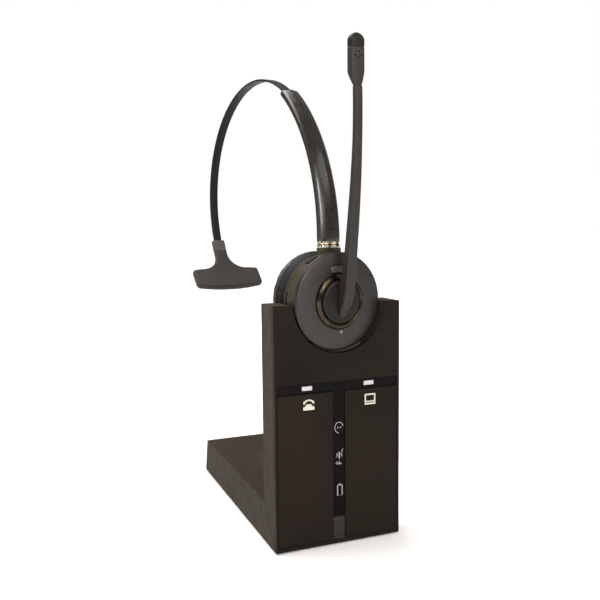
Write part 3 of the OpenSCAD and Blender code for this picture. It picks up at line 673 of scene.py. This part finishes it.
def build_call_button():
    rings = []
    for grow, y in ((0, RIM + 2.3), (0, FACE + 0.2), (-0.1, FACE - 0.02), (-0.35, FACE - 0.12)):
        rings.append([(x, y, z) for x, z in sector(grow)])
    button = loft("call_key", rings, sharp=50)
    dress(button, "cup_plastic", "call_button", "call_button", material=KEY_TOP)


def build_bezel():
    """A dark plated ring: a bright inner bead, a hollow and a broad outer slope."""
    back = FACE + 0.25
    profile = [
        (RING_IN, back), (RING_IN, FACE - 1.1), (RING_IN + 0.35, FACE - 1.7),
        (RING_IN + 0.9, FACE - 1.7), (RING_IN + 1.3, FACE - 1.2), (RING_OUT - 0.9, FACE - 1.2),
        (RING_OUT - 0.2, FACE - 0.7), (RING_OUT, FACE - 0.2), (RING_OUT, back),
    ]
    bezel = lathe("dial_bezel", fillet(profile, [0, 0.3, 0.25, 0.25, 0.4, 0.4, 0.3, 0.2, 0]), 192, 60)
    dress(bezel, "bezel_metal", "ear_cup", "bezel_ring")


def build_hub():
    profile = [
        (0, FACE - 0.3), (HUB_R, FACE - 0.3), (HUB_R, HUB_FRONT + 0.9), (HUB_R - 0.9, HUB_FRONT),
        (HUB_R - 2.2, HUB_FRONT), (HUB_R - 2.6, HUB_FRONT + 0.12), (0, HUB_FRONT + 0.12),
    ]
    hub = lathe("boom_dial", fillet(profile, [0, 0.1, 0.5, 0.5, 0.3, 0.3, 0]), 160, 40)
    dress(hub, "button_plastic", "boom", "boom_hub")


def build_status_lens():
    """A small domed lens in a thin rim."""
    rings = []
    profile = ((0.9, 1.5), (0.9, -0.12), (0.78, -0.2), (0.66, -0.1),
               (0.55, -0.02), (0.3, -0.16), (0.02, -0.2))
    for radius, y in profile:
        ring = []
        for i in range(28):
            a = math.tau * i / 28
            ring.append((LENS_X + radius * math.cos(a), FACE + y, LENS_Z + radius * math.sin(a)))
        rings.append(ring)
    lens = loft("status_lamp", rings, sharp=70)
    dress(lens, "window_white", "ear_cup", "status_lens", material=LAMP)


# ---- Ear cushion ----

CUSHION_R = 29.5
CUSHION_IN = 13.3
CUSHION_LOW = 15.4
CUSHION_HIGH = 23.4
SIM_SCALE = 10
SIM_FRAMES = 20


def cushion_profile(inset):
    low, high = CUSHION_LOW + inset * 0.4, CUSHION_HIGH - inset
    outer, inner = CUSHION_R - inset, CUSHION_IN + inset
    outline = [
        (inner, low), (outer - 1.2, low), (outer, low + 1.6), (outer - 0.2, low + 3.8), (outer - 2.4, high - 0.9),
        (outer - 6, high), (outer - 9, high), (inner + 1.6, high - 1.4), (inner, low + 3),
    ]
    return fillet(outline, 1.4, 3)


def build_cushion():
    """The ear cushion: remeshed, blown up as cloth with its glued base held, then creased."""
    pad = lathe("ear_pad", cushion_profile(0.55), 128)
    scale = Matrix.Scale(SIM_SCALE, 4)
    pad.data.transform(scale)
    grid = pad.modifiers.new("remesh", "REMESH")
    grid.mode = "VOXEL"
    grid.voxel_size = 1.15 * MM * SIM_SCALE
    finished(pad)
    start_points = [v.co.copy() for v in pad.data.vertices]
    blow_up(pad)
    limit = 0.75 * MM * SIM_SCALE
    for vertex, origin in zip(pad.data.vertices, start_points):
        move = vertex.co - origin
        if move.length > limit:
            vertex.co = origin + move.normalized() * limit
    pad.data.transform(scale.inverted())
    crease(pad)
    smooth = pad.modifiers.new("subdivide", "SUBSURF")
    smooth.levels = smooth.render_levels = 1
    finished(pad)
    keep_inside(pad)
    soften(pad.data, 180)
    dress(pad, "pad_leather", "ear_cup", "ear_cushion")


def blow_up(pad):
    """Twenty frames of cloth under pressure, with the base that is glued to the ring held still."""
    held = pad.vertex_groups.new(name="held")
    back = DOCK.inverted()
    for vertex in pad.data.vertices:
        if (back @ vertex.co).y / MM / SIM_SCALE < CUSHION_LOW + 1.2:
            held.add([vertex.index], 1.0, "REPLACE")
    cloth_tool = pad.modifiers.new("cloth", "CLOTH")
    settings = cloth_tool.settings
    settings.use_pressure = True
    settings.uniform_pressure_force = 4
    settings.vertex_group_mass = "held"
    settings.tension_stiffness = 12
    settings.compression_stiffness = 6
    settings.bending_stiffness = 0.4
    settings.quality = 6
    settings.effector_weights.gravity = 0
    cloth_tool.collision_settings.use_collision = False
    scene = bpy.context.scene
    for number in range(1, SIM_FRAMES + 1):
        scene.frame_set(number)
    finished(pad)
    scene.frame_set(1)


def crease(pad):
    """Gathers round the seam and slack folds on the wall, as thin leatherette over foam has."""
    back = DOCK.inverted()
    for vertex in pad.data.vertices:
        spot = back @ vertex.co / MM
        angle = math.atan2(spot.z - cup_z, spot.x)
        radius = math.hypot(spot.x, spot.z - cup_z)
        height = (spot.y - CUSHION_LOW) / (CUSHION_HIGH - CUSHION_LOW)
        wall = max(0.0, min(1.0, (radius - 20) / 6))
        place = Vector((math.cos(angle) * 4.2, math.sin(angle) * 4.2, height * 0.8))
        fold = noise.noise(place * 2.6) * 0.5 + noise.noise(place * 5.7) * 0.3
        gather = noise.noise(Vector((math.cos(angle) * 16, math.sin(angle) * 16, height * 0.5))) * 0.35
        share = wall * (0.35 + 0.65 * min(1.0, height * 1.6)) * min(1.0, height * 4)
        vertex.co += vertex.normal * (fold * 0.75 + gather * 0.4) * share * MM


def keep_inside(pad):
    """The cushion stays in the ring set by CUSHION_R and CUSHION_IN, about 0.5 past its CAD solid."""
    back = DOCK.inverted()
    for vertex in pad.data.vertices:
        spot = back @ vertex.co / MM
        radius = math.hypot(spot.x, spot.z - cup_z)
        share = min(1.0, CUSHION_R / radius) if radius > 20 else max(1.0, CUSHION_IN / radius)
        spot.x *= share
        spot.z = cup_z + (spot.z - cup_z) * share
        spot.y = max(CUSHION_LOW, min(CUSHION_HIGH, spot.y))
        vertex.co = DOCK @ (spot * MM)


# ---- Boom ----

BOOM_LINE = [Vector((-16.8, 140)), Vector((-20, 172)), Vector((-29.8, 215)), Vector((-28.3, 264.05))]
BOOM_FRONT = [(136.7, -12.55), (138, -13.1), (140, -14.5), (142, -16.1), (144, -17.6), (146, -18.8),
              (148, -19.7), (150, -20.3), (152, -20.7)]
BOOM_HALF = [(136, 1.5), (142, 3.1), (152, 3.2), (190, 2.9), (235, 2.5), (264, 2.4)]
HEAD_LOW = 264.1
HEAD_TOP = 292.2
HEAD_SEAM = 284.4
HEAD_Y = -26.8
HEAD_T = 5
HEAD_HALF = 4.3


def boom_point(t):
    a, b, c, d = BOOM_LINE
    s = 1 - t
    return a * s**3 + b * (3 * t * s * s) + c * (3 * t * t * s) + d * t**3


def boom_y(z):
    """The arm's centre line at a height."""
    low, high = 0.0, 1.0
    for _ in range(40):
        t = (low + high) / 2
        if boom_point(t).y < z:
            low = t
        else:
            high = t
    return boom_point((low + high) / 2).x


def boom_thick(z):
    return ramp(z, [(160, 5.4), (235, 3.0)])


def round_box(half, low, high, z, corner):
    """A flat ring of a rounded rectangle, x within +-half and y from low to high."""
    outline = fillet([(-half, low), (half, low), (half, high), (-half, high)], corner, 4)
    return [(p.x, p.y, z) for p in outline]


def build_arm():
    rings = []
    root = [136.7, 137.2, 138.4, 140, 142, 144, 146, 148, 150, 152, 155.5, 158, 160, 162]
    for z in root + steps_between(165, 264, 44):
        thick = boom_thick(z)
        low = boom_y(max(z, 140)) - thick / 2
        if z < 152:
            low = max(low, ramp(z, BOOM_FRONT))
        high = boom_y(max(z, 162)) + boom_thick(max(z, 162)) / 2
        if z < 162:
            high = ramp(z, [(155, HUB_FRONT - 0.1), (162, high)])
        half = ramp(z, BOOM_HALF)
        rings.append(round_box(half, low, high, z, min(0.6, half * 0.3)))
    arm = loft("boom_stem", rings, sharp=50)
    dress(arm, "boom_plastic", "boom", "boom_arm")


def build_grip():
    """The notched strip along the arm's inner edge."""
    teeth = 25
    outer, inner = [], []
    for i in range(teeth * 2 + 1):
        p = boom_point(mix(0.515, 0.935, i / (teeth * 2)))
        back = p.x + boom_thick(p.y) / 2
        outer.append((back + (0.74 if i % 2 else 0.16), p.y))
        inner.append((back - 0.25, p.y))
    outline = fillet(outer, 0.16, 2) + [Vector(p) for p in reversed(inner)]
    rings = [[(x, y, z) for y, z in outline] for x in (-1.7, 1.7)]
    dress(loft("boom_grip", rings, sharp=40), "foot_rubber", "boom", "boom_ribs")


def head_half(z):
    if z > HEAD_TOP - HEAD_HALF:
        rise = (z - (HEAD_TOP - HEAD_HALF)) / HEAD_HALF
        return HEAD_HALF * math.sqrt(max(0.0, 1 - rise * rise))
    return ramp(z, [(HEAD_LOW, 2.35), (267, 3.3), (270, 4.0), (272, HEAD_HALF)])


def head_ring(z, shrink=0.0):
    half = max(0.25, head_half(z) - shrink)
    front = HEAD_Y - HEAD_T / 2
    back = ramp(z, [(HEAD_LOW, HEAD_Y - 0.2), (271, HEAD_Y + HEAD_T / 2), (300, HEAD_Y + HEAD_T / 2)])
    tip = max(0.0, (z - (HEAD_TOP - 4)) / 4)
    low = mix(front, HEAD_Y - 1, tip**2) + shrink
    high = mix(back, HEAD_Y + 1, tip**2) - shrink
    return round_box(half, low, high, z, min(1.0, half * 0.9))


def build_head():
    """The microphone's flat, round-topped case in two mouldings, with sound holes at the front."""
    lower = [head_ring(HEAD_LOW, 0.25)]
    lower += [head_ring(z) for z in steps_between(HEAD_LOW + 0.3, HEAD_SEAM - 0.3, 26)]
    lower.append(head_ring(HEAD_SEAM, 0.22))
    case = loft("mic_case", lower, sharp=50)
    holes = [round_bar("hole", x, z, r, HEAD_Y - 4, HEAD_Y - 1.1, 20) for x, z, r in
             ((0, 281.6, 0.8), (-2, 280, 0.5), (2, 280, 0.5), (0, 278.9, 0.5))]
    carve(case, *holes, sharp=50)
    dress(case, "boom_plastic", "boom", "mic_housing")
    upper = [head_ring(HEAD_SEAM + 0.15, 0.22)]
    upper += [head_ring(z) for z in steps_between(HEAD_SEAM + 0.45, 290.5, 12)]
    upper += [head_ring(z) for z in (291, 291.4, 291.7, 291.9, 292.05, 292.15)]
    dress(loft("mic_crown", upper, sharp=50), "button_plastic", "boom", "mic_tip")


# ---- Headband ----

SLEEVE_CENTRE = Vector((0, 118.8, 180))
SLEEVE_R = 119.2
SLEEVE_IN = 114.2
SPLIT_R = 116.6
MOUTH = 127
SLEEVE_HALF = [(178, 7.1), (290, 5.4)]
STRIP_R = 78.2
STRIP_T = 1.4
STRIP_W = 6.2
STRIP_LOW = -26.8
STRIP_TAIL = 141.5


def sleeve_half(angle):
    return ramp(SLEEVE_CENTRE.z + SLEEVE_R * math.sin(math.radians(angle)), SLEEVE_HALF)


def outer_section(half, inset=0.0):
    h = half - inset
    top = SLEEVE_R - inset
    outline = [
        (SPLIT_R + 0.04, -h), (top - 1.5, -h), (top - 0.85, -h + 1.4), (top - 0.25, -h + 4.2),
        (top, h - 4.8), (top - 0.75, h - 1.0), (top - 1.3, h), (SPLIT_R + 0.04, h),
    ]
    return fillet(outline, [0.12, 0.35, 0.6, 1.2, 0.35, 0.5, 0.25, 0.12], 4)


def inner_section(half, inset=0.0):
    h = half - inset
    outline = [(SLEEVE_IN + inset, -h + 0.1), (SPLIT_R, -h), (SPLIT_R, h), (SLEEVE_IN + inset, h - 0.1)]
    return fillet(outline, [0.8, 0.12, 0.12, 0.8], 4)


def channel(name):
    """The curved slot that the strip slides in."""
    rings = []
    low, high = STRIP_R - STRIP_T / 2 - 0.2, STRIP_R + STRIP_T / 2 + 0.2
    half = STRIP_W / 2 + 0.2
    for angle in steps_between(118, STRIP_TAIL + 1.6, 24):
        rings.append(arc_ring(band_centre, angle, [(low, -half), (high, -half), (high, half), (low, half)]))
    return loft(name, rings)


def build_sleeve():
    """Two mouldings that meet in a fine seam, both open at the mouth for the strip."""
    for name, section, first, slot_name, node in (
        ("sleeve_crown", outer_section, MOUTH + 0.5, "band_plastic", "sleeve_outer"),
        ("sleeve_liner", inner_section, MOUTH, "base_side", "sleeve_inner"),
    ):
        rings = [arc_ring(SLEEVE_CENTRE, first, section(sleeve_half(first), 0.35))]
        for angle in [first + 0.15] + steps_between(first + 0.4, 179.7, 60):
            inset = 0.12 if angle < first + 0.3 else 0
            rings.append(arc_ring(SLEEVE_CENTRE, angle, section(sleeve_half(angle), inset)))
        rings.append(arc_ring(SLEEVE_CENTRE, 180, section(sleeve_half(180), 0.1)))
        sleeve = carve(loft(name, rings), channel("slot"), sharp=38)
        dress(sleeve, slot_name, "band_sleeve", node)


def build_strip():
    rings = []
    outline = fillet([(STRIP_R - STRIP_T / 2, -STRIP_W / 2), (STRIP_R + STRIP_T / 2, -STRIP_W / 2),
                      (STRIP_R + STRIP_T / 2, STRIP_W / 2), (STRIP_R - STRIP_T / 2, STRIP_W / 2)], 0.32, 3)
    for angle in steps_between(STRIP_LOW, STRIP_TAIL, 160):
        rings.append(arc_ring(band_centre, angle, outline))
    dress(loft("band_strip", rings, sharp=50), "strip_black", "headband", "headband_strip")


def build_collar():
    """The chrome collar under the sleeve: two bright lips, a flat waist and a seam."""
    low, high = 176.6, SLEEVE_CENTRE.z - 0.05
    half = 7.3
    front, back = swivel.y - 2.7, swivel.y + 2.7
    rings = []
    for z, inset in ((low, 0.35), (low + 0.2, 0.05), (low + 0.5, 0), (low + 0.75, 0.22), (low + 0.95, 0.26),
                     (high - 0.95, 0.26), (high - 0.75, 0.22), (high - 0.5, 0), (high - 0.2, 0.05), (high, 0.35)):
        h = half - inset
        y0, y1 = front + inset, back - inset
        outline = [(-h, y0 + 1.2), (-h + 1.6, y0), (h - 1.6, y0), (h, y0 + 1.2), (h, y1 - 0.9), (h - 0.9, y1),
                   (-h + 0.9, y1), (-h, y1 - 0.9)]
        rings.append([(p.x, p.y, z) for p in fillet(outline, 0.6, 3)])
    collar = loft("neck_collar", rings, sharp=60)
    seam = plate("seam", [(1.2, low - 1), (1.4, low - 1), (1.4, high + 1), (1.2, high + 1)],
                 front - 1, front + 0.45)
    bore = loft("bore", [[(1.25 * math.cos(a), swivel.y + 1.25 * math.sin(a), z)
                          for a in [math.tau * i / 24 for i in range(24)]] for z in (low - 1, high + 1)])
    carve(collar, seam, bore, sharp=60)
    dress(collar, "collar_chrome", "band_sleeve", "collar_ring")


# ---- T-bar ----

TBAR_R = 120
TBAR_MID = -41.8
TBAR_T = 2.8
TBAR_HALF = 26.9
TBAR_NECK = 5.0
TBAR_TOP = 9.4
TBAR_FILLET = 12.5
TBAR_BOTTOM_R = 125
TBAR_BOTTOM_Y = 115.5
CLIP_LOW = -29.2
CLIP_HIGH = -23


def tbar_centre():
    offset = TBAR_R - STRIP_R
    return Vector((0, band_centre.y - offset * math.cos(math.radians(30)),
                   band_centre.z + offset * math.sin(math.radians(30))))


def tbar_outline():
    """The pad's outline seen along its radius, in (x, v): v runs up the band from the pad's middle."""
    low = [(x, TBAR_BOTTOM_Y - math.sqrt(TBAR_BOTTOM_R**2 - x * x))
           for x in steps_between(-TBAR_HALF, TBAR_HALF, 40)]
    low = low[1:-1]
    neck_top = math.radians(-29.4 - TBAR_MID) * TBAR_R
    right = [(TBAR_HALF, low[-1][1] + 2.0), (TBAR_HALF, TBAR_TOP - 0.7), (TBAR_NECK + TBAR_FILLET, TBAR_TOP)]
    curve = []
    for angle in steps_between(-90, -180, 12):
        a = math.radians(angle)
        curve.append((TBAR_NECK + TBAR_FILLET * (1 + math.cos(a)), TBAR_TOP + TBAR_FILLET * (1 + math.sin(a))))
    curve = [p for p in curve if p[1] < neck_top - 0.3]
    right += curve[1:] + [(curve[-1][0] - 0.05, neck_top)]
    left = [(-x, v) for x, v in reversed(right)]
    outline = low + right + left
    radii = [0.0] * len(outline)
    radii[len(low) - 1] = 1.5
    radii[len(low)] = 3.5
    radii[len(low) + 1] = 2.6
    radii[-1] = 3.5
    radii[-2] = 2.6
    radii[0] = 1.5
    return fillet(outline, radii, 5)


def edge_distance(x, v, outline):
    """The distance from a point to the nearest side of an outline."""
    best = 1e9
    p = Vector((x, v))
    for i, a in enumerate(outline):
        b = outline[(i + 1) % len(outline)]
        side = b - a
        t = max(0.0, min(1.0, (p - a).dot(side) / max(side.length_squared, TINY)))
        best = min(best, (a + side * t - p).length_squared)
    return math.sqrt(best)


def pad_swell(d):
    """Half the pad's thickness at a distance from its outline: a round rim, a groove and a crowned face."""
    round_edge = 2.0
    rim = 0.42 + 0.58 * math.sqrt(1 - (1 - min(1.0, d / round_edge)) ** 2)
    groove = 0.10 * math.exp(-(((d - 2.7) / 0.45) ** 2))
    return rim - groove - 0.04 * (1 - min(1.0, d / 8))


def build_tbar():
    """The soft pad over the wearer's temple, moulded round its plate, and the clip on the strip's end."""
    outline = tbar_outline()
    flat = make("temple_pad", [(p.x, w, p.y) for w in (-TBAR_T, TBAR_T) for p in outline],
                prism_faces(len(outline)), ROW)
    grid = flat.modifiers.new("remesh", "REMESH")
    grid.mode = "VOXEL"
    grid.voxel_size = 0.6 * MM
    finished(flat)
    centre = tbar_centre()
    for vertex in flat.data.vertices:
        x, w, v = vertex.co / MM
        d = edge_distance(x, v, outline)
        swell = w * pad_swell(d)
        angle = math.radians(TBAR_MID) + v / TBAR_R
        radius = TBAR_R - swell
        spot = Vector((x, centre.y + radius * math.cos(angle), centre.z + radius * math.sin(angle)))
        vertex.co = DOCK @ (spot * MM)
    even = flat.modifiers.new("even", "SMOOTH")
    even.factor = 0.5
    even.iterations = 3
    finished(flat)
    flip_if_inside_out(flat)
    soften(flat.data, 180)
    dress(flat, "tbar_rubber", "headband", "tbar_pad")
    half = 4.9
    outer, inner = STRIP_R + 2, STRIP_R - 2
    rings = []
    rounded = ((CLIP_HIGH, 0.5), (CLIP_HIGH - 0.25, 0.12), (CLIP_HIGH - 0.6, 0),
               (-25, 0), (-27, 0), (CLIP_LOW, 0))
    for angle, inset in rounded:
        section = [(inner + inset, -half + inset), (outer - inset, -half + inset),
                   (outer - inset, half - inset), (inner + inset, half - inset)]
        rings.append(arc_ring(band_centre, angle, fillet(section, 0.9, 4)))
    dress(loft("temple_clip", rings, sharp=50), "ring_plastic", "headband", "tbar_clip", material=CLIP_BROWN)


def prism_faces(size):
    faces = [tuple(range(size)), tuple(reversed(range(size, 2 * size)))]
    for k in range(size):
        n = (k + 1) % size
        faces.append((k, size + k, size + n, n))
    return faces


def flip_if_inside_out(obj):
    edit = bmesh.new()
    edit.from_mesh(obj.data)
    bmesh.ops.recalc_face_normals(edit, faces=edit.faces)
    edit.to_mesh(obj.data)
    edit.free()


# ---- Printed pictures ----

KEY_FACE = -10.5
STRIP_FACE = -9.7
PRINT_T = 0.03


def printed(name, shapes, face, body, slot_name, material):
    """Thin raised prints in (x, z) on a front face, as one piece."""
    points, faces = [], []
    for shape in shapes:
        size = len(shape)
        for y in (face - PRINT_T, face + PRINT_T):
            points.extend((x, y, z) for x, z in shape)
        first = len(points) - 2 * size
        faces.extend(tuple(first + i for i in f) for f in prism_faces(size))
    dress(make(name, points, faces, ROW), slot_name, body, material=material)


def stroke(points, width, ends=0.0):
    """A band of a given width along an open line in (x, z)."""
    left, right = [], []
    for i, p in enumerate(points):
        before, after = Vector(points[max(0, i - 1)]), Vector(points[min(len(points) - 1, i + 1)])
        across = (after - before).normalized().orthogonal() * width / 2
        left.append(Vector(p) + across)
        right.append(Vector(p) - across)
    return fillet(left + right[::-1], ends, 3) if ends else left + right[::-1]


def curve(x, z, rx, rz, first, last, count=20):
    made = []
    for angle in steps_between(first, last, count):
        a = math.radians(angle)
        made.append((x + rx * math.cos(a), z + rz * math.sin(a)))
    return made


def print_telephone(x, z):
    handset, lower = [], []
    for t in steps_between(-1, 1, 20):
        thick = 0.5 + 0.45 * abs(t) ** 3
        handset.append((x + 3.5 * t, z + 3.1 - 1.55 * t * t))
        lower.append((x + 3.5 * t * 0.86, z + 3.1 - 1.55 * t * t - thick * 1.7))
    body = [(x + a, z + b) for a, b in ((-3.5, -3.15), (3.5, -3.15), (3.5, -1.3), (2.1, -0.9), (1.3, 0.35),
                                        (-1.3, 0.35), (-2.1, -0.9), (-3.5, -1.3))]
    shapes = [handset + lower[::-1], fillet(body, 0.35, 3)]
    printed("print_telephone", shapes, KEY_FACE, "phone_key", "window_white", PRINT_CREAM)


def print_laptop(x, z):
    w = 3.55
    bars = [((-w, 2.4), (w, 3.25)), ((-w, -1.0), (-w + 0.85, 2.4)), ((w - 0.85, -1.0), (w, 2.4)),
            ((-w, -1.45), (w, -1.0)), ((-w, -3.25), (w, -2.3)), ((-w, -2.3), (-w + 0.4, -1.8)),
            ((w - 0.4, -2.3), (w, -1.8)), ((-w, -1.8), (w, -1.55))]
    shapes = [[(x + a, z + b), (x + c, z + b), (x + c, z + d), (x + a, z + d)] for (a, b), (c, d) in bars]
    printed("print_laptop", shapes, KEY_FACE, "computer_key", "window_white", PRINT_CREAM)


def print_strip_signs():
    """Headset, muted microphone and battery signs on the gloss strip."""
    x, z = 0.3, 71.0
    shapes = [stroke(curve(x, z, 2.6, 3.2, -95, -350, 28), 0.5)]
    for dx in (-0.75, 1.0):
        diamond = [(x + dx, z - 0.75), (x + dx + 0.45, z), (x + dx, z + 0.75), (x + dx - 0.45, z)]
        shapes.append(fillet(diamond, 0.2, 3))
    x, z = 0.4, 53.6
    shapes.append(fillet([(x - 0.5, z - 1.6), (x + 0.5, z - 1.6), (x + 0.5, z + 2.7), (x - 0.5, z + 2.7)], 0.5, 4))
    bowl = curve(x, z - 0.6, 1.7, 2.2, -180, -360, 16)
    shapes.append(stroke([(x - 1.7, z + 2.2)] + bowl + [(x + 1.7, z + 3.4)], 0.45))
    shapes.append(stroke([(x, z - 2.7), (x, z - 4.2)], 0.5))
    shapes.append(stroke([(x - 1.6, z - 4.5), (x + 1.6, z - 4.5)], 0.7))
    shapes.append(stroke([(x - 2.3, z - 4.3), (x - 1.3, z - 3.0)], 0.5))
    shapes.append(stroke([(x + 1.7, z + 3.2), (x + 2.5, z + 4.3)], 0.45))
    x, z = 0.7, 33.2
    shapes.append(stroke([(x - 1.5, z - 3.4), (x - 1.5, z + 2.4), (x - 0.9, z + 3.0), (x + 0.9, z + 3.0),
                          (x + 1.5, z + 2.4), (x + 1.5, z - 3.4)], 0.75))
    shapes.append([(x - 0.8, z + 3.2), (x + 0.8, z + 3.2), (x + 0.5, z + 3.75), (x - 0.5, z + 3.75)])
    for side in (-1, 1):
        shapes.append([(x + side * 1.5 - 0.45 * side, z - 3.65), (x + side * 0.6, z - 3.65),
                       (x + side * 0.6, z - 3.15), (x + side * 1.5 - 0.45 * side, z - 3.15)])
    printed("print_signs", shapes, STRIP_FACE, "base", "window_white", PRINT_GREY)


# ---- Everything together ----

bpy.context.scene.view_settings.view_transform = "Standard"
add_camera()
add_floor()
add_lights()
add_world()
paint_frame()
build_cap()
build_call_button()
build_bezel()
build_hub()
build_status_lens()
build_cushion()
build_arm()
build_grip()
build_head()
build_sleeve()
build_strip()
build_collar()
build_tbar()
print_telephone(-19.05, 86.75)
print_laptop(20.35, 86.35)
print_strip_signs()
